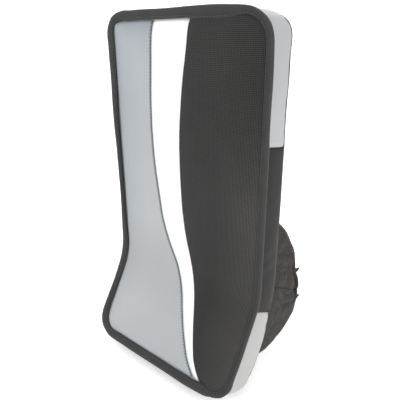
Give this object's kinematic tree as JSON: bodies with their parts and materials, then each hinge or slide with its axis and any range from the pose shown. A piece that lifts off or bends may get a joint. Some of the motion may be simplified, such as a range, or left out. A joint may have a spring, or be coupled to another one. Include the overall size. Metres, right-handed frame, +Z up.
{
  "type": "goalie blocker",
  "caption": "Ice-hockey goalie blocker: a bent padded rebound board with a taped edge and wrapped sides, and on its back a padded glove with finger stalls, side guard and wrist strap.",
  "frame": {"origin": "centre of the hand space, where the worn hand's palm sits inside the glove", "axes": "+Z up the board towards the wrist and forearm, +Y out of the back of the board towards the palm, +X across the board towards the thumb side"},
  "size_m": [0.203, 0.1642, 0.3821],
  "materials": {
    "face_vinyl_grey": "satin",
    "face_vinyl_white": "satin",
    "face_nylon_black": "matte",
    "binding_tape": "satin",
    "gusset_vinyl_grey": "satin",
    "gusset_black": "satin",
    "foam": "matte",
    "plate_plastic": "satin",
    "back_nylon": "matte",
    "glove_nylon": "matte",
    "palm_leather": "satin",
    "guard_nylon": "matte",
    "guard_mesh": "matte",
    "lace_cord": "matte",
    "hardware_steel": "satin",
    "strap_webbing": "matte",
    "hook_and_loop": "matte",
    "ring_black": "gloss"
  },
  "bodies": {
    "root": {"face_panel_grey": "face_vinyl_grey", "face_panel_white": "face_vinyl_white", "face_panel_black": "face_nylon_black", "edge_binding": "binding_tape", "rear_piping": "binding_tape", "side_guard_binding": "binding_tape", "gusset_top": "gusset_vinyl_grey", "gusset_bottom": "gusset_vinyl_grey", "gusset_side_thumb": "gusset_black", "gusset_side_outer": "gusset_black", "board_core": "foam", "face_foam": "foam", "backhand_pad": "foam", "cuff_front_pad": "foam", "side_guard_foam": "foam", "outer_side_pad": "foam", "stiffener_plate": "plate_plastic", "glove_base_plate": "plate_plastic", "back_cover": "back_nylon", "glove_shell": "glove_nylon", "cuff_shell": "glove_nylon", "palm_patch": "palm_leather", "side_guard_skin": "guard_nylon", "side_guard_mesh": "guard_mesh", "guard_lace": "lace_cord", "lace_knots": "lace_cord", "mounting_screws": "hardware_steel", "screw_washers": "hardware_steel", "barrel_nuts": "hardware_steel", "anchor_rivets": "hardware_steel", "guard_eyelets": "hardware_steel", "strap_anchor_tab": "strap_webbing", "strap_loop_patch": "hook_and_loop", "strap_ring": "ring_black"},
    "thumb": {"thumb_stall": "glove_nylon", "thumb_facing": "palm_leather"},
    "strap": {"wrist_strap": "strap_webbing", "strap_hook_patch": "hook_and_loop"},
    "index_finger": {"index_finger_stall": "glove_nylon", "index_finger_facing": "palm_leather"},
    "middle_finger": {"middle_finger_stall": "glove_nylon", "middle_finger_facing": "palm_leather"},
    "ring_finger": {"ring_finger_stall": "glove_nylon", "ring_finger_facing": "palm_leather"},
    "little_finger": {"little_finger_stall": "glove_nylon", "little_finger_facing": "palm_leather"}
  },
  "joints": [
    {"name": "index_curl", "type": "hinge", "parent": "root", "child": "index_finger", "pos_m": [0.0386, 0.0135, -0.047], "axis": [1, 0, 0], "range_deg": [0, 75], "stiffness_Nm_per_rad": 0.03},
    {"name": "middle_curl", "type": "hinge", "parent": "root", "child": "middle_finger", "pos_m": [0.0137, 0.0135, -0.047], "axis": [1, 0, 0], "range_deg": [0, 75], "stiffness_Nm_per_rad": 0.03},
    {"name": "ring_curl", "type": "hinge", "parent": "root", "child": "ring_finger", "pos_m": [-0.0112, 0.0135, -0.047], "axis": [1, 0, 0], "range_deg": [0, 75], "stiffness_Nm_per_rad": 0.03},
    {"name": "little_curl", "type": "hinge", "parent": "root", "child": "little_finger", "pos_m": [-0.0361, 0.0135, -0.047], "axis": [1, 0, 0], "range_deg": [0, 75], "stiffness_Nm_per_rad": 0.03},
    {"name": "thumb_flex", "type": "hinge", "parent": "root", "child": "thumb", "pos_m": [0.0664, 0.005, -0.023], "axis": [1, 0, 0], "range_deg": [0, 35], "stiffness_Nm_per_rad": 0.04},
    {"name": "strap_open", "type": "hinge", "parent": "root", "child": "strap", "pos_m": [0.057, 0.0259, 0.074], "axis": [0, 0, -1], "range_deg": [0, 150]}
  ]
}
